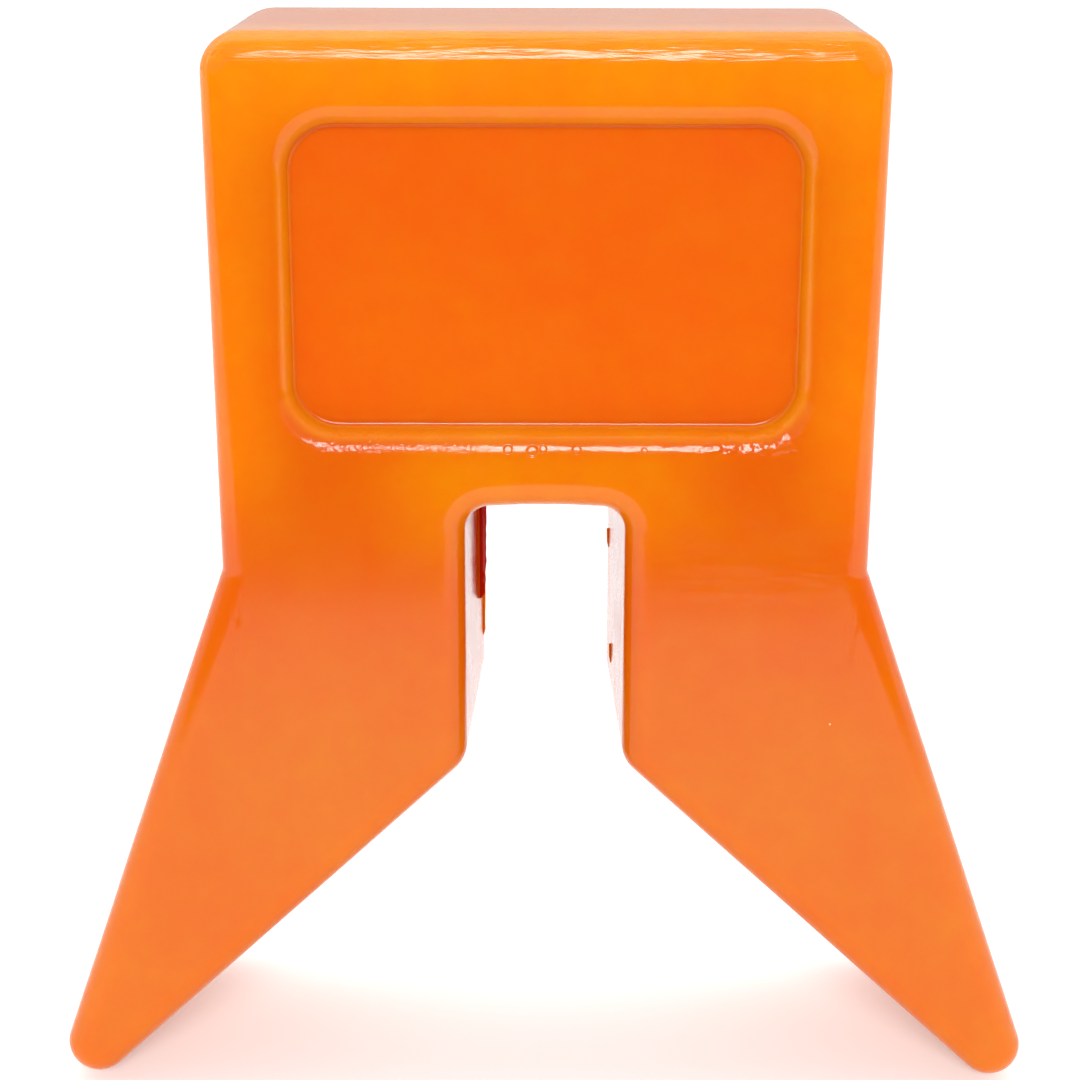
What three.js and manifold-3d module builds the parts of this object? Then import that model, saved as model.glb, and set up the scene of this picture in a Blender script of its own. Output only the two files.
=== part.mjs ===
// V-shaped bow stop for a boat trailer: one cast polyurethane block that turns on a steel bolt sleeve.
// Millimetres, +Z up. The block stands on its two leg tips at z = 0, centred on x = 0 and y = 0.
// Its front face, with the shallow recess, looks along -Y, and the bolt runs from side to side along X.

import * as THREE from 'three';
import { mergeVertices } from 'three/addons/utils/BufferGeometryUtils.js';
import Module from 'manifold-3d';

// --- Driving dimensions ------------------------------------------------------------------------

const DEPTH = 34.9; // front face to back face
const NOMINAL_WIDTH = 76.2; // the widest part of the upper block, at the back: a 3 in bracket's gap
const SHOULDER_TAPER = 0.4; // how much narrower each side is at the shoulder than at the top
const DRAFT_ANGLE = THREE.MathUtils.degToRad(1.85); // the walls spread towards the back, to leave the mould

// Heights are measured from the bolt axis, which runs through the middle of the upper block.
const TOP_ABOVE_BOLT = 26.4;
const SHOULDER_BELOW_BOLT = 33.2;
const SLOT_CEILING_BELOW_BOLT = 25.8;
const V_CORNER_BELOW_BOLT = 56.1;

const SLOT_WIDTH = 18.1; // at the front face
const SLOT_CROWN = 0.45; // the ceiling of the slot is this much higher in the middle
const LEG_OUTER_ANGLE = THREE.MathUtils.degToRad(19.4); // from vertical
const LEG_INNER_ANGLE = THREE.MathUtils.degToRad(46.9); // half of the V, from vertical

const TOP_CORNER_RADIUS = 4.4;
const SHOULDER_RADIUS = 1.9;
const TIP_RADIUS = 3.6;
const V_CORNER_RADIUS = 3.9;
const SLOT_CORNER_RADIUS = 2.9;
const CROWN_RADIUS = 50;
const FRONT_EDGE_RADIUS = 2.9;
const BACK_EDGE_RADIUS = 0.5;

const RECESS_WIDTH = 55.0; // the flat floor, side to side
const RECESS_HEIGHT = 32.5;
const RECESS_DEPTH = 3.1;
const RECESS_CORNER_RADIUS = 4.6;
const RECESS_FLOOR_RADIUS = 0.4; // the small hollow where the floor meets its wall

const BOLT_CLEARANCE_RADIUS = 6.55; // a 1/2 in bolt slides through
const SLEEVE_RADIUS = 9.525; // 3/4 in outside
const SLEEVE_LENGTH = 74.8; // flush with the cheeks where the bolt runs, so that a clamped bracket bears on steel
const SLEEVE_CHAMFER = 0.5;
const RUNNING_GAP = 0.3;

const ARC_STEP = THREE.MathUtils.degToRad(13); // the largest turn in one step of a rounded corner
const FILLET_STEPS = 6;
const SMALL_ROUND_STEPS = 2;
const BORE_STEPS = 48;
const CUTTER_OVERLAP = 1; // how far a cutting solid reaches past the face it opens
const WELD_DISTANCE = 1e-4;

// --- Outline with rounded corners --------------------------------------------------------------

// The points of one rounded corner of an anticlockwise outline, grown outwards by offset.
// Every offset gives the same number of points, so rings of different offsets join one to one.
function roundedCorner(before, corner, after, offset) {
  const arriving = corner.point.clone().sub(before.point).normalize();
  const leaving = after.point.clone().sub(corner.point).normalize();
  const turn = Math.atan2(arriving.cross(leaving), arriving.dot(leaving));
  const side = Math.sign(turn); // +1 where the corner sticks out, -1 where it is hollow
  const radius = corner.radius + side * offset;
  const fromCorner = corner.radius * Math.tan(Math.abs(turn) / 2);
  const outward = new THREE.Vector2(arriving.y, -arriving.x);
  const centre = corner.point.clone()
    .addScaledVector(arriving, -fromCorner)
    .addScaledVector(outward, -side * corner.radius);
  const start = Math.atan2(side * outward.y, side * outward.x);
  const steps = Math.max(2, Math.ceil(Math.abs(turn) / ARC_STEP));
  const points = [];
  for (let i = 0; i <= steps; i += 1) {
    const angle = start + (turn * i) / steps;
    points.push(new THREE.Vector2(Math.cos(angle), Math.sin(angle)).multiplyScalar(radius).add(centre));
  }
  return points;
}

function ring(corners, offset) {
  const last = corners.length - 1;
  return corners.flatMap((corner, i) =>
    roundedCorner(corners[i === 0 ? last : i - 1], corner, corners[i === last ? 0 : i + 1], offset));
}

const cornerAt = (x, z, radius) => ({ point: new THREE.Vector2(x, z), radius });

// The other half of a symmetrical outline, in the order that closes it.
const mirrored = (corners) =>
  corners.map(({ point, radius }) => cornerAt(-point.x, point.y, radius)).reverse();

// --- Solids ------------------------------------------------------------------------------------

// A closed solid through rings of equal point count. Each station is { points, y }, front to back.
function loft(stations) {
  const count = stations[0].points.length;
  const positions = stations.flatMap(({ points, y }) => points.flatMap((p) => [p.x, y, p.y]));
  const triangles = [];
  for (let s = 0; s < stations.length - 1; s += 1) {
    for (let i = 0; i < count; i += 1) {
      const a = s * count + i;
      const b = s * count + ((i + 1) % count);
      triangles.push(a, a + count, b, b, a + count, b + count);
    }
  }
  const back = (stations.length - 1) * count;
  for (const [a, b, c] of THREE.ShapeUtils.triangulateShape(stations[0].points, [])) {
    triangles.push(a, b, c);
  }
  for (const [a, b, c] of THREE.ShapeUtils.triangulateShape(stations.at(-1).points, [])) {
    triangles.push(back + a, back + c, back + b);
  }
  const geometry = new THREE.BufferGeometry();
  geometry.setAttribute('position', new THREE.Float32BufferAttribute(positions, 3));
  geometry.setIndex(triangles);
  return geometry;
}

const wasm = await Module();
wasm.setup();

function toManifold(geometry) {
  const bare = geometry.clone();
  bare.deleteAttribute('normal');
  bare.deleteAttribute('uv');
  const merged = mergeVertices(bare, WELD_DISTANCE);
  return new wasm.Manifold(new wasm.Mesh({
    numProp: 3,
    vertProperties: new Float32Array(merged.attributes.position.array),
    triVerts: new Uint32Array(merged.index.array),
  }));
}

function toGeometry(manifold) {
  const { vertProperties, triVerts } = manifold.getMesh();
  const geometry = new THREE.BufferGeometry();
  geometry.setAttribute('position', new THREE.BufferAttribute(vertProperties, 3));
  geometry.setIndex(new THREE.BufferAttribute(triVerts, 1));
  geometry.computeVertexNormals();
  return geometry;
}

// --- The block ---------------------------------------------------------------------------------

const FRONT = -DEPTH / 2;
const spreadAt = (y) => (y - FRONT) * Math.tan(DRAFT_ANGLE); // how far the draft has moved a wall out
const topHalfWidth = NOMINAL_WIDTH / 2 - spreadAt(DEPTH / 2); // at the front face
const shoulderHalfWidth = topHalfWidth - SHOULDER_TAPER;

// Where a leg's outer and inner lines would meet, past its rounded tip.
function sharpTip() {
  const outer = Math.tan(LEG_OUTER_ANGLE);
  const inner = Math.tan(LEG_INNER_ANGLE);
  const gap = shoulderHalfWidth - SLOT_WIDTH / 2;
  const z = (gap + inner * V_CORNER_BELOW_BOLT - outer * SHOULDER_BELOW_BOLT) / (outer - inner);
  return [shoulderHalfWidth - outer * (z + SHOULDER_BELOW_BOLT), z];
}

function blockCorners() {
  const [tipX, tipZ] = sharpTip();
  const right = [
    cornerAt(SLOT_WIDTH / 2, -SLOT_CEILING_BELOW_BOLT, SLOT_CORNER_RADIUS),
    cornerAt(SLOT_WIDTH / 2, -V_CORNER_BELOW_BOLT, V_CORNER_RADIUS),
    cornerAt(tipX, tipZ, TIP_RADIUS),
    cornerAt(shoulderHalfWidth, -SHOULDER_BELOW_BOLT, SHOULDER_RADIUS),
    cornerAt(topHalfWidth, TOP_ABOVE_BOLT, TOP_CORNER_RADIUS),
  ];
  const crown = cornerAt(0, -SLOT_CEILING_BELOW_BOLT + SLOT_CROWN, CROWN_RADIUS);
  return [crown, ...right, ...mirrored(right)];
}

// Front to back: a quarter-round front edge, a straight drafted wall, and a small round back edge.
function blockStations(corners) {
  const stations = [];
  const addStation = (y, inset) =>
    stations.push({ y, points: ring(corners, spreadAt(y) - inset) });
  for (let i = 0; i <= FILLET_STEPS; i += 1) {
    const angle = (i / FILLET_STEPS) * (Math.PI / 2);
    addStation(
      FRONT + FRONT_EDGE_RADIUS * (1 - Math.cos(angle)),
      FRONT_EDGE_RADIUS * (1 - Math.sin(angle)),
    );
  }
  for (let i = 0; i <= SMALL_ROUND_STEPS; i += 1) {
    const angle = (i / SMALL_ROUND_STEPS) * (Math.PI / 2);
    addStation(
      DEPTH / 2 - BACK_EDGE_RADIUS * (1 - Math.sin(angle)),
      BACK_EDGE_RADIUS * (1 - Math.cos(angle)),
    );
  }
  return stations;
}

// The hollow in the front face: a flat floor, a small hollow radius, then a rim that rolls out to the face.
function recessStations() {
  const right = [
    cornerAt(RECESS_WIDTH / 2, -RECESS_HEIGHT / 2, RECESS_CORNER_RADIUS),
    cornerAt(RECESS_WIDTH / 2, RECESS_HEIGHT / 2, RECESS_CORNER_RADIUS),
  ];
  const corners = [...right, ...mirrored(right)];
  const rimRadius = RECESS_DEPTH - RECESS_FLOOR_RADIUS;
  const stations = [];
  const addStation = (depth, offset) =>
    stations.unshift({ y: FRONT + depth, points: ring(corners, offset) });
  for (let i = 0; i < SMALL_ROUND_STEPS; i += 1) {
    const angle = (i / SMALL_ROUND_STEPS) * (Math.PI / 2);
    addStation(
      RECESS_DEPTH - RECESS_FLOOR_RADIUS * (1 - Math.cos(angle)),
      RECESS_FLOOR_RADIUS * Math.sin(angle),
    );
  }
  for (let i = 0; i <= FILLET_STEPS; i += 1) {
    const angle = (i / FILLET_STEPS) * (Math.PI / 2);
    addStation(
      rimRadius * (1 - Math.sin(angle)),
      RECESS_FLOOR_RADIUS + rimRadius * (1 - Math.cos(angle)),
    );
  }
  addStation(-CUTTER_OVERLAP, RECESS_FLOOR_RADIUS + rimRadius);
  return stations;
}

const corners = blockCorners();

const boreCutter = new THREE.CylinderGeometry(
  SLEEVE_RADIUS + RUNNING_GAP,
  SLEEVE_RADIUS + RUNNING_GAP,
  NOMINAL_WIDTH + 2 * CUTTER_OVERLAP,
  BORE_STEPS,
).rotateZ(Math.PI / 2);

const block = toManifold(loft(blockStations(corners)))
  .subtract(toManifold(loft(recessStations())))
  .subtract(toManifold(boreCutter));

const blockMesh = new THREE.Mesh(
  toGeometry(block),
  new THREE.MeshStandardMaterial({ color: 0xf57f1c, roughness: 0.28, metalness: 0 }),
);
blockMesh.name = 'moulded_block';

// --- The bolt sleeve ---------------------------------------------------------------------------

// A plain steel tube with chamfered ends, turned about its own axis.
function sleeveGeometry() {
  const end = SLEEVE_LENGTH / 2;
  const profile = [
    [BOLT_CLEARANCE_RADIUS, -end + SLEEVE_CHAMFER],
    [BOLT_CLEARANCE_RADIUS + SLEEVE_CHAMFER, -end],
    [SLEEVE_RADIUS - SLEEVE_CHAMFER, -end],
    [SLEEVE_RADIUS, -end + SLEEVE_CHAMFER],
    [SLEEVE_RADIUS, end - SLEEVE_CHAMFER],
    [SLEEVE_RADIUS - SLEEVE_CHAMFER, end],
    [BOLT_CLEARANCE_RADIUS + SLEEVE_CHAMFER, end],
    [BOLT_CLEARANCE_RADIUS, end - SLEEVE_CHAMFER],
    [BOLT_CLEARANCE_RADIUS, -end + SLEEVE_CHAMFER],
  ].map(([radius, along]) => new THREE.Vector2(radius, along));
  return new THREE.LatheGeometry(profile, BORE_STEPS);
}

const sleeveMesh = new THREE.Mesh(
  sleeveGeometry(),
  new THREE.MeshStandardMaterial({ color: 0xb9bcc0, roughness: 0.35, metalness: 1 }),
);
sleeveMesh.name = 'bolt_sleeve';
sleeveMesh.rotation.z = Math.PI / 2;

// --- Assembly ----------------------------------------------------------------------------------

// Everything above is measured from the bolt axis. The leg tips are lowest at the back, where the draft ends.
const lowest = Math.min(...blockStations(corners).flatMap(({ points }) => points.map((p) => p.y)));

const bowStop = new THREE.Group();
bowStop.add(blockMesh, sleeveMesh);
bowStop.position.z = -lowest;

export default bowStop;
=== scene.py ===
# %% [markdown]
# A V bow stop for a boat trailer, one block of cast polyurethane on a steel bolt sleeve.
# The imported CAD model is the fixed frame. It says where the bolt axis, the faces and the body joints are,
# so every piece below starts from it, and no piece is fitted to it afterwards.

# %% Load the frame
import math
import random

import bpy
from mathutils import Matrix, Vector


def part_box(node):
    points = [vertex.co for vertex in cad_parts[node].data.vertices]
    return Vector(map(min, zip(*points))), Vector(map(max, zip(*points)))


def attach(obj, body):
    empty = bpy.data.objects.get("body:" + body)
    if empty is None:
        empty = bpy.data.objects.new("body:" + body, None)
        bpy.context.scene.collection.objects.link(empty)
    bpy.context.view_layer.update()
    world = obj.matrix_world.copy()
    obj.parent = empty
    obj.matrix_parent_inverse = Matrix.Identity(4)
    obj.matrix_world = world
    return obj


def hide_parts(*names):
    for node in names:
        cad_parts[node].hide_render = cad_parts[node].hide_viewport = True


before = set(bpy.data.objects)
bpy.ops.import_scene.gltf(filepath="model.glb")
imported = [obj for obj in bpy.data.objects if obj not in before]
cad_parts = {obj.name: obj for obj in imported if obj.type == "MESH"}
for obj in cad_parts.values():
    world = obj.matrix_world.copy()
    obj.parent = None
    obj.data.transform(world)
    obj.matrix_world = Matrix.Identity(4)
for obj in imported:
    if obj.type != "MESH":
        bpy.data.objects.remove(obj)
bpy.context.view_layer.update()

MM = 0.001
sleeve_low, sleeve_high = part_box("bolt_sleeve")
block_low, block_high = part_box("moulded_block")
BOLT = (sleeve_low + sleeve_high) / 2
FRONT = block_low.y
BACK = block_high.y
print("bolt axis at", tuple(round(value / MM, 2) for value in BOLT), "mm")
print("front and back at", round(FRONT / MM, 2), round(BACK / MM, 2), "mm")

# %% [markdown]
# The block is a simple casting: one outline pulled straight back, with walls that spread a little
# towards the back so that it leaves its mould. Its sizes are the CAD model's, in millimetres, and
# heights count from the bolt axis.

# %% Driving sizes of the block
DRAFT = math.tan(math.radians(1.85))
NOMINAL_WIDTH = 76.2 * MM
SHOULDER_TAPER = 0.4 * MM
TOP_ABOVE_BOLT = 26.4 * MM
SHOULDER_BELOW_BOLT = 33.2 * MM
SLOT_CEILING_BELOW_BOLT = 25.8 * MM
V_CORNER_BELOW_BOLT = 56.1 * MM
SLOT_WIDTH = 18.1 * MM
SLOT_CROWN = 0.45 * MM
LEG_OUTER = math.tan(math.radians(19.4))
LEG_INNER = math.tan(math.radians(46.9))
TOP_CORNER_RADIUS = 4.4 * MM
SHOULDER_RADIUS = 1.9 * MM
TIP_RADIUS = 3.6 * MM
V_CORNER_RADIUS = 3.9 * MM
SLOT_CORNER_RADIUS = 2.9 * MM
CROWN_RADIUS = 50 * MM
FRONT_EDGE_RADIUS = 2.9 * MM
BACK_EDGE_RADIUS = 0.5 * MM
RECESS_WIDTH = 55.0 * MM
RECESS_HEIGHT = 32.5 * MM
RECESS_DEPTH = 3.1 * MM
RECESS_CORNER_RADIUS = 4.6 * MM
RECESS_FLOOR_RADIUS = 0.4 * MM
BORE_RADIUS = 9.825 * MM
DEPTH = BACK - FRONT
TOP_HALF_WIDTH = NOMINAL_WIDTH / 2 - DRAFT * DEPTH
print("width of the front face at the top", round(2 * TOP_HALF_WIDTH / MM, 2), "mm")


# %% [markdown]
# Blender's operators act on whatever is selected, so two small helpers keep the selection honest:
# one leaves a single object selected, the other picks faces, edges or vertices by their place.

# %% Selection helpers
def only(piece):
    """Leaves this piece alone selected and active, in object mode."""
    if bpy.context.object and bpy.context.object.mode == "EDIT":
        bpy.ops.object.mode_set(mode="OBJECT")
    bpy.ops.object.select_all(action="DESELECT")
    piece.select_set(True)
    bpy.context.view_layer.objects.active = piece


def pick(piece, kind, chosen):
    """Opens the piece in edit mode with only the elements selected for which chosen says yes."""
    only(piece)
    bpy.ops.object.mode_set(mode="EDIT")
    bpy.ops.mesh.select_mode(type=kind)
    bpy.ops.mesh.select_all(action="DESELECT")
    bpy.ops.object.mode_set(mode="OBJECT")
    elements = {"VERT": piece.data.vertices, "EDGE": piece.data.edges, "FACE": piece.data.polygons}[kind]
    count = 0
    for element in elements:
        element.select = bool(chosen(element))
        count += element.select
    bpy.ops.object.mode_set(mode="EDIT")
    return count


def apply(piece, kind, **settings):
    """Adds one modifier with its settings and applies it."""
    only(piece)
    modifier = piece.modifiers.new(kind.title(), kind)
    for key, value in settings.items():
        setattr(modifier, key, value)
    bpy.ops.object.modifier_apply(modifier=modifier.name)


# %% [markdown]
# A pattern maker draws such an outline with a straight edge and a compass. The same is done here:
# one vertex is extruded to where a rounded corner starts, then spun about the corner's centre. True
# arcs matter on a glossy part, because a vertex bevel on a sharp leg tip would give an ellipse.

# %% Draw an outline with straight edge and compass
ARC_STEP = math.radians(6.5)


def corner_arc(before, corner, after, growth):
    """The start, centre and turn of one rounded corner, when the outline has grown outwards."""
    arriving = (corner[0] - before[0]).normalized()
    leaving = (after[0] - corner[0]).normalized()
    turn = math.atan2(arriving.cross(leaving), arriving.dot(leaving))
    side = math.copysign(1, turn)
    outward = Vector((arriving.y, -arriving.x))
    centre = corner[0] - arriving * corner[1] * math.tan(abs(turn) / 2) - outward * side * corner[1]
    start = centre + outward * side * (corner[1] + side * growth)
    return start, centre, turn


def draw_outline(name, corners, y, growth=0.0):
    """A filled outline in the plane y. Each corner is (point, radius), anticlockwise from the front."""
    bpy.ops.object.select_all(action="DESELECT")
    bpy.ops.mesh.primitive_plane_add(size=MM)
    piece = bpy.context.object
    piece.name = name
    count = len(corners)
    arcs = [corner_arc(corners[i - 1], corners[i], corners[(i + 1) % count], growth) for i in range(count)]
    bpy.ops.object.mode_set(mode="EDIT")
    bpy.ops.mesh.select_mode(type="VERT")
    bpy.ops.mesh.merge(type="CENTER")
    here = Vector((0, 0, 0))
    for i, (start, centre, turn) in enumerate(arcs):
        there = Vector((start.x, y, start.y))
        if i == 0:
            bpy.ops.transform.translate(value=there - here)
        else:
            bpy.ops.mesh.extrude_region_move(TRANSFORM_OT_translate={"value": there - here})
        here = there
        steps = math.ceil(abs(turn) / ARC_STEP)
        if (start - centre).length > 0:
            spin_centre = Vector((centre.x, y, centre.y))
            bpy.ops.mesh.spin(steps=steps, angle=turn, center=spin_centre, axis=(0, 1, 0))
            here = spin_centre + Matrix.Rotation(-turn, 3, "Y") @ (there - spin_centre)
    first = Vector((arcs[0][0].x, y, arcs[0][0].y))
    bpy.ops.mesh.extrude_region_move(TRANSFORM_OT_translate={"value": first - here})
    bpy.ops.mesh.select_all(action="SELECT")
    bpy.ops.mesh.remove_doubles(threshold=0.001 * MM)
    bpy.ops.mesh.edge_face_add()
    bpy.ops.object.mode_set(mode="OBJECT")
    if piece.data.polygons[0].normal.y > 0:
        bpy.ops.object.mode_set(mode="EDIT")
        bpy.ops.mesh.flip_normals()
        bpy.ops.object.mode_set(mode="OBJECT")
    print(name, "drawn with", len(piece.data.vertices), "points")
    return piece


def mirror(corners):
    """The other half of a symmetrical outline, in the order that closes it."""
    return [(Vector((-point.x, point.y)), radius) for point, radius in reversed(corners)]


# %% [markdown]
# The walls are drafted, so the outline is largest at the back. Inset does the work of the mould's
# draft and of its rounded bottom edge: each inset with a depth lays down one band of the wall, and
# ten small ones make the quarter-round of the front edge without pinching the corners.

# %% The outline of the block
shoulder_half = TOP_HALF_WIDTH - SHOULDER_TAPER
tip_z = (
    shoulder_half - SLOT_WIDTH / 2 + LEG_INNER * V_CORNER_BELOW_BOLT - LEG_OUTER * SHOULDER_BELOW_BOLT
) / (LEG_OUTER - LEG_INNER)
tip_x = shoulder_half - LEG_OUTER * (tip_z + SHOULDER_BELOW_BOLT)
right_half = [
    (Vector((SLOT_WIDTH / 2, BOLT.z - SLOT_CEILING_BELOW_BOLT)), SLOT_CORNER_RADIUS),
    (Vector((SLOT_WIDTH / 2, BOLT.z - V_CORNER_BELOW_BOLT)), V_CORNER_RADIUS),
    (Vector((tip_x, BOLT.z + tip_z)), TIP_RADIUS),
    (Vector((shoulder_half, BOLT.z - SHOULDER_BELOW_BOLT)), SHOULDER_RADIUS),
    (Vector((TOP_HALF_WIDTH, BOLT.z + TOP_ABOVE_BOLT)), TOP_CORNER_RADIUS),
]
crown = (Vector((0, BOLT.z - SLOT_CEILING_BELOW_BOLT + SLOT_CROWN)), CROWN_RADIUS)
outline = [crown, *right_half, *mirror(right_half)]

# %% Walls, front edge and back edge of the block
FRONT_STEPS = 10
BACK_STEPS = 4
# The cast surface climbs the mould wall a little, so the back is dished just inside its edge.
MENISCUS = [(0.4, 0.07), (0.6, 0.08), (0.8, 0.07), (0.9, 0.04), (0.9, 0.02)]


def inset(thickness, depth):
    """One band of wall: the selected face shrinks by thickness and moves out by depth."""
    bpy.ops.mesh.inset(thickness=thickness, depth=depth, use_even_offset=True)


rim_y = BACK - BACK_EDGE_RADIUS
wall = DEPTH - BACK_EDGE_RADIUS - FRONT_EDGE_RADIUS
block = draw_outline("block", outline, rim_y, growth=DRAFT * (rim_y - FRONT))
pick(block, "FACE", lambda face: True)
inset(DRAFT * wall, wall)
for i in range(FRONT_STEPS):
    before = math.radians(90) * i / FRONT_STEPS
    after = math.radians(90) * (i + 1) / FRONT_STEPS
    rise = FRONT_EDGE_RADIUS * (math.sin(after) - math.sin(before))
    inset(FRONT_EDGE_RADIUS * (math.cos(before) - math.cos(after)) + DRAFT * rise, rise)


def on_back_rim(edge):
    """Says whether an edge lies on the open rim at the back."""
    return all(abs(block.data.vertices[v].co.y - rim_y) < MM / 100 for v in edge.vertices)


pick(block, "EDGE", on_back_rim)
bpy.ops.mesh.edge_face_add()
for i in range(BACK_STEPS):
    before = math.radians(90) * i / BACK_STEPS
    after = math.radians(90) * (i + 1) / BACK_STEPS
    inset(
        BACK_EDGE_RADIUS * (math.cos(before) - math.cos(after)),
        BACK_EDGE_RADIUS * (math.sin(after) - math.sin(before)),
    )
for across, down in MENISCUS:
    inset(across * MM, -down * MM)
bpy.ops.mesh.select_all(action="SELECT")
bpy.ops.mesh.normals_make_consistent(inside=False)
bpy.ops.object.mode_set(mode="OBJECT")
print("block:", len(block.data.polygons), "faces,", [round(v / MM, 2) for v in block.dimensions], "mm")

# %% [markdown]
# The recess in the front face is a raised pad on the mould. It is modelled the same way, as a solid of
# its own that narrows to the recess floor, and then cut out of the block with a Boolean modifier. A cut
# keeps the rim's radius even all the way round, which pushing the face in would not.

# %% Cut the recess
RIM_STEPS = 10
FLOOR_STEPS = 3
TOOL_OVERLAP = 1 * MM
rim_radius = RECESS_DEPTH - RECESS_FLOOR_RADIUS
recess_right = [
    (Vector((RECESS_WIDTH / 2, BOLT.z - RECESS_HEIGHT / 2)), RECESS_CORNER_RADIUS),
    (Vector((RECESS_WIDTH / 2, BOLT.z + RECESS_HEIGHT / 2)), RECESS_CORNER_RADIUS),
]
recess_outline = [*recess_right, *mirror(recess_right)]


def cut(piece, tool):
    """Cuts the tool out of the piece, and deletes the tool."""
    apply(piece, "BOOLEAN", operation="DIFFERENCE", solver="EXACT", object=tool)
    bpy.data.objects.remove(tool)


pad_growth = RECESS_FLOOR_RADIUS + rim_radius
pad = draw_outline("recess_pad", recess_outline, FRONT - TOOL_OVERLAP, growth=pad_growth)
pick(pad, "FACE", lambda face: True)
bpy.ops.mesh.flip_normals()
inset(0, TOOL_OVERLAP)
for i in range(RIM_STEPS):
    before = math.radians(90) * i / RIM_STEPS
    after = math.radians(90) * (i + 1) / RIM_STEPS
    inset(
        rim_radius * (math.sin(after) - math.sin(before)),
        rim_radius * (math.cos(before) - math.cos(after)),
    )
for i in range(FLOOR_STEPS):
    before = math.radians(90) * i / FLOOR_STEPS
    after = math.radians(90) * (i + 1) / FLOOR_STEPS
    inset(
        RECESS_FLOOR_RADIUS * (math.cos(before) - math.cos(after)),
        RECESS_FLOOR_RADIUS * (math.sin(after) - math.sin(before)),
    )


def on_open_end(edge):
    """Says whether an edge lies on the open end of the pad, in front of the block."""
    return all(pad.data.vertices[v].co.y < FRONT - TOOL_OVERLAP / 2 for v in edge.vertices)


pick(pad, "EDGE", on_open_end)
bpy.ops.mesh.edge_face_add()
bpy.ops.mesh.select_all(action="SELECT")
bpy.ops.mesh.normals_make_consistent(inside=False)
bpy.ops.object.mode_set(mode="OBJECT")
print("recess pad:", [round(v / MM, 2) for v in pad.dimensions], "mm")
cut(block, pad)
print("block with recess:", len(block.data.polygons), "faces")

# %% [markdown]
# The bolt bore runs from cheek to cheek. A core pin leaves a slightly rounded mouth, so the cut edge
# gets a small bevel, picked by its distance from the bolt axis.

# %% Cut the bolt bore
BORE_SIDES = 96
MOUTH_ROUND = 0.4 * MM
bpy.ops.object.select_all(action="DESELECT")
bpy.ops.mesh.primitive_cylinder_add(
    vertices=BORE_SIDES,
    radius=BORE_RADIUS,
    depth=2 * block_high.x,
    location=BOLT,
    rotation=(0, math.radians(90), 0),
)
core = bpy.context.object
bpy.ops.object.transform_apply()
cut(block, core)


def on_bore_mouth(edge):
    """Says whether an edge lies on the circle where the bore meets a cheek."""
    ends = [block.data.vertices[v].co - BOLT for v in edge.vertices]
    near_axis = all(abs(Vector((end.y, end.z)).length - BORE_RADIUS) < MM / 20 for end in ends)
    return near_axis and abs(ends[0].x - ends[1].x) < MM and abs(ends[0].x) > TOP_HALF_WIDTH - MM


print("bore mouth edges:", pick(block, "EDGE", on_bore_mouth))
bpy.ops.mesh.bevel(offset=MOUTH_ROUND, segments=3, affect="EDGES")
bpy.ops.object.mode_set(mode="OBJECT")

# %% [markdown]
# Where liquid polyurethane creeps past the slot's core it leaves flash, a thin ragged web. It starts as
# a thin box set into the wall, is bisected along its length, and each station of its free edge is then
# moved by its own seeded amount. Joined to the block it stays one casting.

# %% Flash left in the slot
FLASH_STATION = 0.8 * MM
FLASH_ROOT = 1.2 * MM


def make_flash(name, side, top, length, width, depth, thickness, seed):
    """One web on a slot wall. Side is -1 left or 1 right, and depth counts from the front face."""
    dice = random.Random(seed)
    wall_x = side * (SLOT_WIDTH / 2 - DRAFT * depth)
    middle = Vector((wall_x, FRONT + depth + thickness / 2, top - length / 2))
    bpy.ops.object.select_all(action="DESELECT")
    bpy.ops.mesh.primitive_cube_add(size=1, location=middle, scale=(2 * FLASH_ROOT, thickness, length))
    web = bpy.context.object
    web.name = name
    bpy.ops.object.transform_apply()
    bpy.ops.object.mode_set(mode="EDIT")
    stations = int(length / FLASH_STATION)
    for i in range(1, stations):
        bpy.ops.mesh.select_all(action="SELECT")
        height = Vector((0, 0, top - length * i / stations))
        bpy.ops.mesh.bisect(plane_co=height, plane_no=(0, 0, 1))
    bpy.ops.object.mode_set(mode="OBJECT")
    for i in range(stations + 1):
        z = top - length * i / stations
        ragged = 1 - 0.35 * dice.random() * (i / stations) ** 2
        reach = width * ragged if i < stations else width / 4

        def free_edge(vertex):
            return abs(vertex.co.z - z) < MM / 100 and (wall_x - vertex.co.x) * side > 0

        pick(web, "VERT", free_edge)
        bpy.ops.transform.translate(value=(side * (FLASH_ROOT - reach), 0, 0))
    bpy.ops.object.mode_set(mode="OBJECT")
    return web


ceiling_z = BOLT.z - SLOT_CEILING_BELOW_BOLT
webs = [
    make_flash("flash_left", -1, ceiling_z - 1.0 * MM, 17 * MM, 1.0 * MM, 25 * MM, 0.5 * MM, 3),
    make_flash("flash_left_tail", -1, ceiling_z - 17.5 * MM, 8 * MM, 0.3 * MM, 33.2 * MM, 0.3 * MM, 4),
    make_flash("flash_right", 1, ceiling_z - 11 * MM, 2.5 * MM, 0.25 * MM, 32.6 * MM, 0.3 * MM, 5),
    make_flash("flash_right_tail", 1, ceiling_z - 24 * MM, 2.5 * MM, 0.25 * MM, 25.3 * MM, 0.3 * MM, 6),
]
for web in webs:
    print(web.name, [round(v / MM, 2) for v in web.dimensions], "mm")
    apply(block, "BOOLEAN", operation="UNION", solver="EXACT", object=web)
    bpy.data.objects.remove(web)

# %% [markdown]
# No casting is dead flat. The big faces are scored into a grid by bisecting planes, so that they have
# points to move, and a cloud texture then lets the skin sink by a few hundredths of a millimetre, as
# polyurethane does when it shrinks away from its mould. It sinks only, and the finished block passes
# the CAD box by no more than about 0.01 mm.

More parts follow.
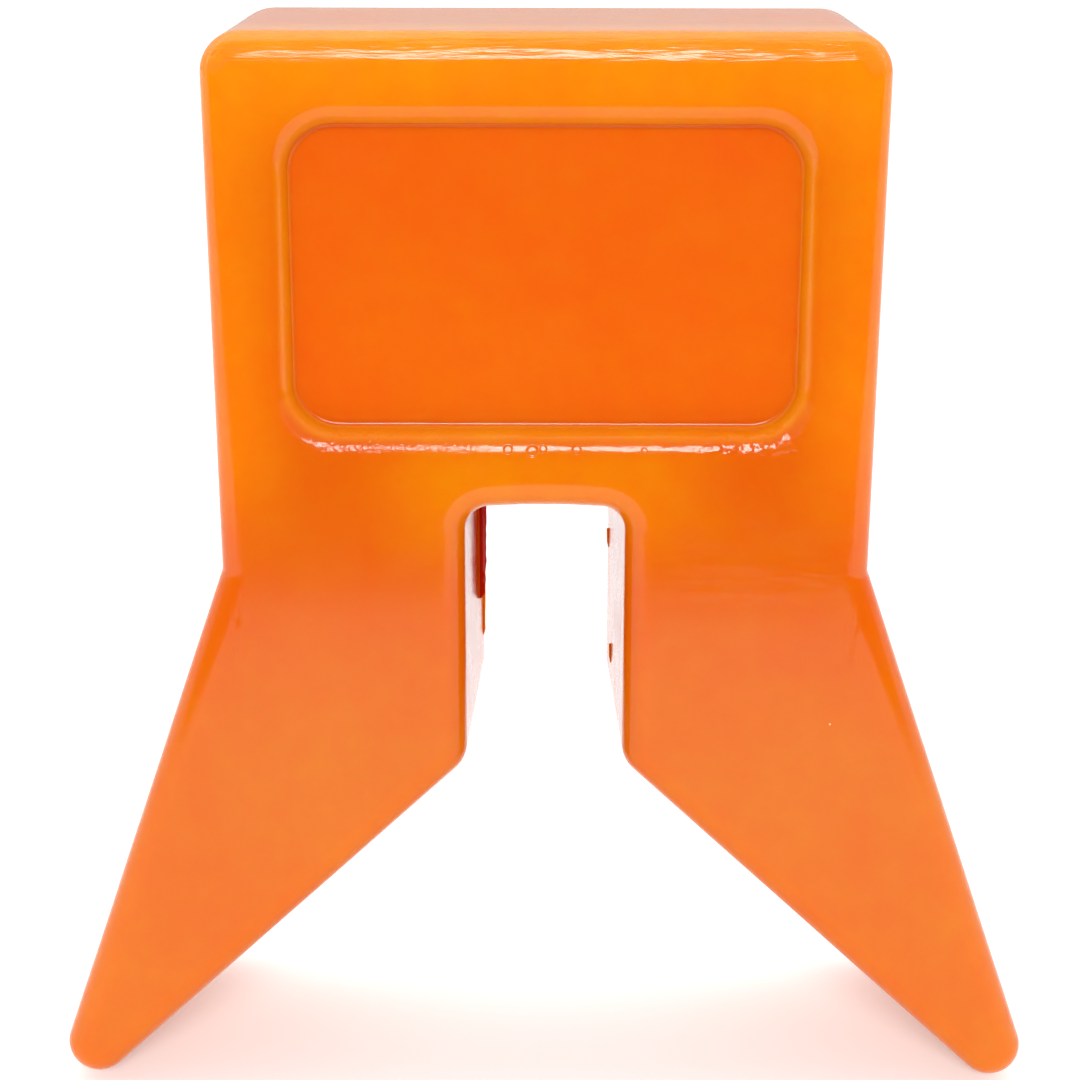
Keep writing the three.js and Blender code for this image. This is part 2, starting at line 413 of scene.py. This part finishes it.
# %% Score the block and let its skin sink
GRID = 3 * MM
SINK = 0.05 * MM
SINK_SIZE = 14 * MM


def score(piece, axis, positions):
    """Bisects the whole piece by planes across one axis."""
    only(piece)
    bpy.ops.object.mode_set(mode="EDIT")
    normal = Vector((0, 0, 0))
    normal[axis] = 1
    for position in positions:
        bpy.ops.mesh.select_all(action="SELECT")
        bpy.ops.mesh.bisect(plane_co=normal * position, plane_no=normal)
    bpy.ops.object.mode_set(mode="OBJECT")


def spaced(low, high):
    """Evenly spaced places between two limits, about one grid step apart."""
    count = max(1, round((high - low) / GRID))
    return [low + (high - low) * i / count for i in range(count + 1)]


score(block, 0, spaced(block_low.x + GRID, block_high.x - GRID))
score(block, 1, spaced(FRONT + RECESS_DEPTH + MM / 4, BACK - 1.5 * MM))
score(block, 2, spaced(block_low.z + GRID, block_high.z - 1.5 * GRID))
clouds = bpy.data.textures.new("shrinkage", "CLOUDS")
clouds.noise_scale = SINK_SIZE
apply(block, "DISPLACE", texture=clouds, texture_coords="LOCAL", strength=SINK, mid_level=1.0)
only(block)
bpy.ops.object.shade_smooth()
apply(block, "WEIGHTED_NORMAL", mode="FACE_AREA_WITH_ANGLE", weight=80, keep_sharp=False)
print("block:", len(block.data.polygons), "faces after scoring")

# %% [markdown]
# The bolt sleeve is a length of steel tube, sawn off, deburred and zinc plated. It is a cylinder with
# its two end caps inset and then bridged through, which leaves the bore, and its four end edges are
# bevelled as the deburring tool would.

# %% Make the bolt sleeve
SLEEVE_SIDES = 128
SLEEVE_WALL = 2.975 * MM
SLEEVE_CHAMFER = 0.5 * MM
sleeve_radius = (sleeve_high.z - sleeve_low.z) / 2
bpy.ops.object.select_all(action="DESELECT")
bpy.ops.mesh.primitive_cylinder_add(
    vertices=SLEEVE_SIDES,
    radius=sleeve_radius,
    depth=sleeve_high.x - sleeve_low.x,
    location=BOLT,
    rotation=(0, math.radians(90), 0),
)
sleeve = bpy.context.object
sleeve.name = "bolt_sleeve_tube"
bpy.ops.object.transform_apply()
pick(sleeve, "FACE", lambda face: abs(face.normal.x) > 0.9)
bpy.ops.mesh.inset(thickness=SLEEVE_WALL, depth=0)
bpy.ops.mesh.bridge_edge_loops()
bpy.ops.object.mode_set(mode="OBJECT")


def on_end_circle(edge):
    """Says whether an edge lies on one of the four circles at the tube's ends."""
    ends = [sleeve.data.vertices[v].co for v in edge.vertices]
    return abs(ends[0].x - ends[1].x) < MM / 10 and (
        abs((ends[0] - BOLT).length - (ends[1] - BOLT).length) < MM / 100
    )


print("end edges:", pick(sleeve, "EDGE", on_end_circle))
bpy.ops.mesh.bevel(offset=SLEEVE_CHAMFER, segments=3, affect="EDGES")
bpy.ops.mesh.select_all(action="SELECT")
bpy.ops.mesh.normals_make_consistent(inside=False)
bpy.ops.object.mode_set(mode="OBJECT")
score(sleeve, 0, spaced(sleeve_low.x + GRID, sleeve_high.x - GRID))
only(sleeve)
bpy.ops.object.shade_smooth_by_angle(angle=math.radians(35))
print("sleeve:", len(sleeve.data.polygons), "faces,", [round(v / MM, 2) for v in sleeve.dimensions], "mm")


# %% [markdown]
# Every material is built from nodes. One helper turns an sRGB hex colour into the linear values that a
# shader works in, one adds a node with its settings and links, and one starts an empty material.

# %% Material helpers
def srgb(hex_colour):
    """Turns an sRGB hex colour into linear red, green, blue and alpha."""
    channels = [int(hex_colour[i : i + 2], 16) / 255 for i in (0, 2, 4)]
    linear = [c / 12.92 if c <= 0.04045 else ((c + 0.055) / 1.055) ** 2.4 for c in channels]
    return (*linear, 1.0)


def add(tree, kind, settings=None, links=None):
    """Adds one node. Settings are its properties or input values, links are what feeds its inputs."""
    node = tree.nodes.new(kind)
    for key, value in (settings or {}).items():
        if isinstance(key, str) and hasattr(node, key):
            setattr(node, key, value)
        else:
            node.inputs[key].default_value = value
    for key, source in (links or {}).items():
        tree.links.new(source, node.inputs[key])
    return node


def new_material(name):
    """An empty node material, with its output node and its object coordinates."""
    material = bpy.data.materials.new(name)
    material.use_nodes = True
    tree = material.node_tree
    tree.nodes.clear()
    output = tree.nodes.new("ShaderNodeOutputMaterial")
    place = tree.nodes.new("ShaderNodeTexCoord").outputs["Object"]
    return material, tree, output, place


# %% [markdown]
# The finish is described in millimetres from the bolt axis, because that is how a maker would say where
# a mark lies. One helper turns a list of soft limits into a mask that is 1 inside a region.

# %% Places and masks in millimetres
def millimetres(tree, place):
    """Across, back from the front face, and up from the bolt axis, in mm, as a vector and one by one."""
    corner = Vector((BOLT.x, FRONT, BOLT.z)) / MM
    to_mm = {"Location": -corner, "Scale": Vector((1, 1, 1)) / MM}
    mapped = add(tree, "ShaderNodeMapping", to_mm, {0: place})
    split = add(tree, "ShaderNodeSeparateXYZ", links={0: mapped.outputs[0]})
    side = add(tree, "ShaderNodeMath", {"operation": "ABSOLUTE"}, {0: split.outputs["X"]})
    return mapped.outputs[0], {
        "across": split.outputs["X"],
        "side": side.outputs[0],
        "back": split.outputs["Y"],
        "up": split.outputs["Z"],
    }


def region(tree, at, limits, strength=1.0):
    """A soft mask. Each limit is (measure, where it is 0, where it is 1), and all of them multiply."""
    mask = None
    for measure, zero, one in limits:
        step = add(
            tree,
            "ShaderNodeMapRange",
            {"interpolation_type": "SMOOTHSTEP", "From Min": zero, "From Max": one, "To Max": strength},
            {"Value": at[measure]},
        ).outputs[0]
        strength = 1.0
        if mask is not None:
            step = add(tree, "ShaderNodeMath", {"operation": "MULTIPLY"}, {0: mask, 1: step}).outputs[0]
        mask = step
    return mask


def patches(tree, vector, size, stretch=(1, 1, 1), detail=2.0):
    """A cloudy pattern between 0 and 1, with patches about size mm across, stretched along any axis."""
    scale = Vector((1 / stretch[0], 1 / stretch[1], 1 / stretch[2])) / size
    mapped = add(tree, "ShaderNodeMapping", {"Scale": scale}, {0: vector})
    cloud = add(tree, "ShaderNodeTexNoise", {"Scale": 1.0, "Detail": detail}, {0: mapped.outputs[0]})
    return cloud.outputs["Fac"]


# %% [markdown]
# Cast polyurethane, poured open and cured in a polished mould. The pigment is a warm orange. The resin
# passes a little light, so the block looks yellower near its top and sides, redder in the recess and
# milkier down the legs. Part of that is light and shade and not pigment, and it is painted into the colour
# by region: painted light at the top, the sides and the rim of the recess, painted shade in the recess
# floor and on the flash in the slot. It was tuned under this one studio, so other lighting will show it as
# uneven colour.

# %% Tones, painted light and painted shade of the cast polyurethane
FACE = "D25E08"
FLASH_SHADE_ACROSS = [("across", -8.22, -8.08), ("across", -4, -6)]
RECESS = [("side", 31, 30), ("up", -20, -19), ("up", 20, 19)]
TONES_AND_PAINTED_LIGHT = [
    # Painted light: the outer sides lighter and yellower, where light comes through the thin resin.
    ("E07609", [("side", 26, 34), ("up", -34, -14)]),
    # Painted light: the upper part of the block lighter and yellower, where the light from above falls.
    ("EC8C08", [("up", 8, 27)]),
    ("DA7606", [("up", -16, -21), ("up", -36, -22), ("side", 24, 10)]),
    ("D06802", [("up", -30, -60)]),
    ("DE7608", [("back", 6, 14), ("up", -34, -14)]),
    # Painted light: the rounded rim of the recess lighter, where light falls on it.
    ("E07F08", [("back", 0.2, 0.9), ("back", 3.0, 2.2), *RECESS]),
    # Painted light: a lighter, yellower band at the foot of the recess wall, set against the shade in that
    # corner.
    ("EA8A14", [("back", 2.1, 2.6), ("back", 3.1, 2.98), *RECESS]),
    # Painted shade: the floor of the recess redder than the face around it, as the shade in the recess makes
    # it look.
    ("DE630C", [("back", 2.8, 3.06), ("back", 7, 5), *RECESS]),
    # Painted shade: the flash deep in the slot dark red, the shade of the slot painted into it.
    ("8E1206", [*FLASH_SHADE_ACROSS, ("back", 24, 24.8), ("back", 26.6, 25.8), ("up", -24, -25.5)]),
]
MOTTLE = 16
FINE_MOTTLE = 3.5
SPECK_CELL = 9
SPECK_RADIUS = 0.13
SPECK_RARITY = 0.55


def polyurethane_colour_and_painted_light(tree, vector, at):
    """The base colour of the casting, with light and shade painted in by region."""
    rgb = add(tree, "ShaderNodeMix", {"data_type": "RGBA", 0: 0.0, 6: srgb(FACE)}).outputs[2]
    for tone, limits in TONES_AND_PAINTED_LIGHT:
        mask = region(tree, at, limits)
        rgb = add(tree, "ShaderNodeMix", {"data_type": "RGBA", 7: srgb(tone)}, {0: mask, 6: rgb}).outputs[2]
    for size, amount in ((MOTTLE, 0.16), (FINE_MOTTLE, 0.10)):
        cloud = patches(tree, vector, size, detail=3.0)
        shade = add(
            tree,
            "ShaderNodeMapRange",
            {"From Min": 0.3, "From Max": 0.7, "To Min": 1 - amount / 2, "To Max": 1 + amount / 2},
            {"Value": cloud},
        ).outputs[0]
        green = add(tree, "ShaderNodeCombineColor", {0: 1.0, 2: 1.0}, {1: shade}).outputs[0]
        rgb = add(
            tree, "ShaderNodeMix", {"data_type": "RGBA", "blend_type": "MULTIPLY", 0: 1.0}, {6: rgb, 7: green}
        ).outputs[2]
    cells = add(tree, "ShaderNodeTexVoronoi", {"Scale": 1 / SPECK_CELL}, {"Vector": vector})
    rare = add(tree, "ShaderNodeSeparateColor", links={0: cells.outputs["Color"]})
    near = add(
        tree,
        "ShaderNodeMapRange",
        {"From Min": SPECK_RADIUS / SPECK_CELL, "From Max": 0.5 * SPECK_RADIUS / SPECK_CELL},
        {"Value": cells.outputs["Distance"]},
    ).outputs[0]
    some = add(tree, "ShaderNodeMath", {"operation": "GREATER_THAN", 1: SPECK_RARITY}, {0: rare.outputs[0]})
    dust = add(tree, "ShaderNodeMath", {"operation": "MULTIPLY"}, {0: near, 1: some.outputs[0]}).outputs[0]
    return add(tree, "ShaderNodeMix", {"data_type": "RGBA", 7: srgb("FFD9B0")}, {0: dust, 6: rgb}).outputs[2]


# %% [markdown]
# The skin copies the mould. Brush marks from the release wax run across the block, the rounded lower rim
# of the recess has a pitted stretch and a few burst bubbles, and an orange peel too fine to see alone
# breaks the reflections. All of it is relief, given as heights in millimetres.

# %% Relief of the cast polyurethane
# Each bubble is its place across and up, and its radius.
BUBBLES = [
    (-4.1, -18.6, 0.6),
    (-1.4, -18.8, 0.8),
    (-0.2, -18.5, 0.5),
    (3.5, -18.6, 0.6),
    (11.0, -18.7, 0.4),
]
BUBBLE_BACK = 0.1
BUBBLE_HEIGHT = -0.12


def polyurethane_relief(tree, vector, at):
    """The height of the skin, in mm."""
    everywhere = [("side", 999, 99)]
    rim = [("up", -19.4, -18.8), ("up", -15, -17), ("back", 2.6, 1.6), ("side", 30, 27)]
    edge = [("up", 23.2, 23.9), ("back", 4, 2.5), ("side", 38, 35)]
    pitted = [("across", -27, -24), ("across", -2, -10), *rim]
    blotched = [("across", 15, 20), *rim]
    beside_slot = [("up", -22, -26), ("up", -40, -34), ("across", 10, 18)]
    shoulder = [
        ("side", 33.4, 34.6),
        ("side", 36.2, 35.2),
        ("up", -34, -37),
        ("up", -47, -43),
        ("back", 1, 0.2),
    ]
    layers = [
        (0.220, patches(tree, vector, 1.3, stretch=(9, 1, 1)), edge),
        (0.120, patches(tree, vector, 0.4, stretch=(12, 1, 1)), edge),
        (0.003, patches(tree, vector, 1.6), everywhere),
        (0.090, patches(tree, vector, 1.2, stretch=(3, 1, 1)), rim),
        (0.100, patches(tree, vector, 0.5), pitted),
        (0.420, patches(tree, vector, 1.9), blotched),
        (0.040, patches(tree, vector, 2.4, stretch=(3, 1, 1)), beside_slot),
        (-0.250, patches(tree, vector, 1.2, stretch=(1, 1, 5)), shoulder),
    ]
    height = None
    for depth, pattern, limits in layers:
        mask = region(tree, at, limits, strength=depth)
        centred = add(tree, "ShaderNodeMath", {"operation": "SUBTRACT", 1: 0.5}, {0: pattern}).outputs[0]
        step = add(tree, "ShaderNodeMath", {"operation": "MULTIPLY"}, {0: centred, 1: mask}).outputs[0]
        if height is not None:
            step = add(tree, "ShaderNodeMath", {"operation": "ADD"}, {0: height, 1: step}).outputs[0]
        height = step
    for across, up, radius in BUBBLES:
        centre = Vector((across, BUBBLE_BACK, up))
        gap = add(tree, "ShaderNodeVectorMath", {"operation": "DISTANCE", 1: centre}, {0: vector})
        ring = add(
            tree,
            "ShaderNodeMapRange",
            {
                "interpolation_type": "SMOOTHSTEP",
                "From Min": radius,
                "From Max": radius * 0.5,
                "To Max": BUBBLE_HEIGHT,
            },
            {"Value": gap.outputs["Value"]},
        ).outputs[0]
        height = add(tree, "ShaderNodeMath", {"operation": "ADD"}, {0: height, 1: ring}).outputs[0]
    return height


# %% [markdown]
# The resin is glossy but not polished, so its roughness wanders. It scatters light a few millimetres deep,
# red furthest, which is what keeps the thin edges from going dark.

# %% Cast polyurethane
def cast_polyurethane():
    """Glossy orange cast polyurethane, shore 80A to 90A."""
    material, tree, output, place = new_material("cast_polyurethane")
    vector, at = millimetres(tree, place)
    gloss = add(
        tree,
        "ShaderNodeMapRange",
        {"From Min": 0.3, "From Max": 0.7, "To Min": 0.09, "To Max": 0.17},
        {"Value": patches(tree, vector, 5, detail=4.0)},
    ).outputs[0]
    bump = add(
        tree,
        "ShaderNodeBump",
        {"Distance": MM},
        {"Height": polyurethane_relief(tree, vector, at)},
    )
    shader = add(
        tree,
        "ShaderNodeBsdfPrincipled",
        {
            "IOR": 1.5,
            "Specular IOR Level": 0.31,
            "Subsurface Weight": 0.6,
            "Subsurface Radius": (1.0, 0.35, 0.1),
            "Subsurface Scale": 4 * MM,
        },
        {
            "Base Color": polyurethane_colour_and_painted_light(tree, vector, at),
            "Roughness": gloss,
            "Normal": bump.outputs["Normal"],
        },
    )
    tree.links.new(shader.outputs[0], output.inputs[0])
    return material


# %% [markdown]
# The sleeve is inferred, so its finish is the usual one for such a part and not one that was seen. It is
# cut from drawn steel tube and zinc plated for life on a trailer. Plating gives a bright
# grey skin with a faint blue cast and cloudy patches. Under it run the fine rings left by deburring and
# polishing between wheels, and where the sleeve turns in the block the plating is rubbed smoother.

# %% Zinc-plated steel
RING_PITCH = 0.35
ZINC_GREY = "C4C8CC"
ZINC_SHADE = "A3A9B0"


def zinc_plated_steel():
    """Bright zinc plating on drawn steel tube, cloudy, with fine rings and rubbed bands."""
    material, tree, output, place = new_material("zinc_plated_steel")
    vector, at = millimetres(tree, place)
    cloud = patches(tree, vector, 6, detail=4.0)
    spangle = add(tree, "ShaderNodeTexVoronoi", {"Scale": 0.8}, {"Vector": vector})
    tone = add(
        tree,
        "ShaderNodeMix",
        {"data_type": "RGBA", 6: srgb(ZINC_SHADE), 7: srgb(ZINC_GREY)},
        {0: cloud},
    ).outputs[2]
    tint = add(
        tree,
        "ShaderNodeMapRange",
        {"To Min": 0.93, "To Max": 1.0},
        {"Value": spangle.outputs["Distance"]},
    ).outputs[0]
    grain = add(tree, "ShaderNodeCombineColor", links={0: tint, 1: tint, 2: tint}).outputs[0]
    colour = add(
        tree, "ShaderNodeMix", {"data_type": "RGBA", "blend_type": "MULTIPLY", 0: 1.0}, {6: tone, 7: grain}
    ).outputs[2]
    rubbed = patches(tree, vector, 3, stretch=(1, 6, 6), detail=3.0)
    gloss = add(
        tree,
        "ShaderNodeMapRange",
        {"From Min": 0.3, "From Max": 0.7, "To Min": 0.26, "To Max": 0.42},
        {"Value": rubbed},
    ).outputs[0]
    rings = patches(tree, vector, RING_PITCH, stretch=(1, 40, 40))
    bump = add(tree, "ShaderNodeBump", {"Distance": 0.02 * MM}, {"Height": rings})
    shader = add(
        tree,
        "ShaderNodeBsdfPrincipled",
        {"Metallic": 1.0},
        {"Base Color": colour, "Roughness": gloss, "Normal": bump.outputs["Normal"]},
    )
    tree.links.new(shader.outputs[0], output.inputs[0])
    return material


block.data.materials.append(cast_polyurethane())
sleeve.data.materials.append(zinc_plated_steel())

# %% [markdown]
# The block stands on a matt white light table, which glows a little so that its shadow stays faint. The
# table ends in front of the block: a glossy face mirrors what lies before it, and a nearer edge keeps the
# upper half of the face deep in colour.

# %% Light table
FLOOR_SIZE = 20
TABLE_GLOW = 0.26
FLOOR_EDGE = FRONT - 197 * MM
bpy.ops.object.select_all(action="DESELECT")
bpy.ops.mesh.primitive_plane_add(size=FLOOR_SIZE, location=(0, FLOOR_EDGE + FLOOR_SIZE / 2, block_low.z))
floor = bpy.context.object
floor.name = "floor"
floor_material, tree, output, place = new_material("matt_white_card")
shader = add(
    tree,
    "ShaderNodeBsdfPrincipled",
    {
        "Base Color": srgb("EAEAEA"),
        "Roughness": 0.9,
        "Emission Color": srgb("FFFFFF"),
        "Emission Strength": TABLE_GLOW,
    },
)
tree.links.new(shader.outputs[0], output.inputs[0])
floor.data.materials.append(floor_material)

# %% [markdown]
# The studio is a soft tent, bright overhead and dimmer in front and behind. The top face then picks up
# the pale back wall, and the front edge rounds off from one to the other.

# %% Studio tent
# Each stop is the angle of a direction, from 0 at the horizon in front of the block, over the top, to 1
# behind it, and how bright the tent is there.
STUDIO = [
    (0.00, 0.50),
    (0.25, 0.50),
    (0.42, 0.55),
    (0.50, 2.10),
    (0.66, 2.10),
    (0.78, 0.80),
    (1.00, 0.66),
]
HORIZON_BLUR = 0.02
world = bpy.data.worlds.new("studio")
bpy.context.scene.world = world
world.use_nodes = True
tree = world.node_tree
tree.nodes.clear()
direction = add(tree, "ShaderNodeTexCoord").outputs["Generated"]
parts = add(tree, "ShaderNodeSeparateXYZ", links={0: direction})
angle = add(tree, "ShaderNodeMath", {"operation": "ARCTAN2"}, {0: parts.outputs["Z"], 1: parts.outputs["Y"]})
turned = add(tree, "ShaderNodeMapRange", {"From Min": math.pi, "From Max": 0.0}, {"Value": angle.outputs[0]})
tent = add(tree, "ShaderNodeValToRGB", links={0: turned.outputs[0]})
peak = max(level for _, level in STUDIO)
for position, level in STUDIO[1:-1]:
    tent.color_ramp.elements.new(position)
for stop, (position, level) in zip(tent.color_ramp.elements, STUDIO):
    stop.position = position
    stop.color = (level / peak, level / peak, level / peak, 1)
above = add(
    tree,
    "ShaderNodeMapRange",
    {"From Min": -HORIZON_BLUR, "From Max": HORIZON_BLUR, "To Max": peak},
    {"Value": parts.outputs["Z"]},
)
sky = add(tree, "ShaderNodeBackground", links={"Color": tent.outputs[0], "Strength": above.outputs[0]})
plain = add(tree, "ShaderNodeBackground", {"Color": (1, 1, 1, 1), "Strength": 1.0})
camera_ray = add(tree, "ShaderNodeLightPath").outputs["Is Camera Ray"]
shown = add(tree, "ShaderNodeMixShader", links={0: camera_ray, 1: sky.outputs[0], 2: plain.outputs[0]})
add(tree, "ShaderNodeOutputWorld", links={0: shown.outputs[0]})
print("tent brightness", min(level for _, level in STUDIO), "to", peak)


# %% [markdown]
# One soft box stands low in front. It draws the bright line along the top edge and the one in the lower
# rim of the recess, where the relief of the skin breaks them up.

# %% Key soft box
def soft_light(name, place, target, size, radiance):
    """One rectangular soft box, aimed at a point, given by how bright its face is."""
    data = bpy.data.lights.new(name, "AREA")
    data.shape = "RECTANGLE"
    data.size, data.size_y = size
    data.energy = radiance * math.pi * size[0] * size[1]
    lamp = bpy.data.objects.new(name, data)
    bpy.context.scene.collection.objects.link(lamp)
    lamp.location = place
    lamp.rotation_euler = (target - place).to_track_quat("-Z", "Y").to_euler()
    return lamp


KEY_ELEVATION = math.radians(22)
KEY_SIZE = (0.30, 0.36)
KEY_RADIANCE = 22
key_direction = Vector((0, -math.cos(KEY_ELEVATION), math.sin(KEY_ELEVATION)))
key = soft_light("key_softbox", BOLT + key_direction, BOLT, KEY_SIZE, KEY_RADIANCE)
print("key soft box", round(key.data.energy, 2), "W")

# %% [markdown]
# The camera stands a hand's length in front of the block and above it, and looks down at it, so that the
# top face and the walls of the slot show. Its lens was assumed and not measured. Lens, distance and the
# depth of the block go together: a longer lens further off would go with a deeper block.

# %% Camera
CAMERA_FROM_BOLT = Vector((0.7, -253.6, 39.0)) * MM
CAMERA_DOWN = 16.06
CAMERA_LEFT = 0.30
CAMERA_ROLL = 0.10
SENSOR = 36
LENS = 73.2
camera_data = bpy.data.cameras.new("camera")
camera_data.sensor_width = SENSOR
camera_data.lens = LENS
camera_data.clip_start = 0.01
camera = bpy.data.objects.new("camera", camera_data)
bpy.context.scene.collection.objects.link(camera)
camera.matrix_world = (
    Matrix.Translation(BOLT + CAMERA_FROM_BOLT)
    @ Matrix.Rotation(math.radians(CAMERA_LEFT), 4, "Z")
    @ Matrix.Rotation(math.radians(90 - CAMERA_DOWN), 4, "X")
    @ Matrix.Rotation(math.radians(CAMERA_ROLL), 4, "Z")
)
bpy.context.scene.camera = camera
bpy.context.scene.view_settings.view_transform = "Standard"

# %% [markdown]
# Each piece rides on the body of the CAD part that it stands for and takes that part's place, so the
# sleeve can turn in the block.

# %% Join the frame
block.name = "cast_block"
for piece, body, node, slot in (
    (block, "block", "moulded_block", "cast_polyurethane"),
    (sleeve, "sleeve", "bolt_sleeve", "zinc_plated_steel"),
):
    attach(piece, body)
    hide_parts(node)
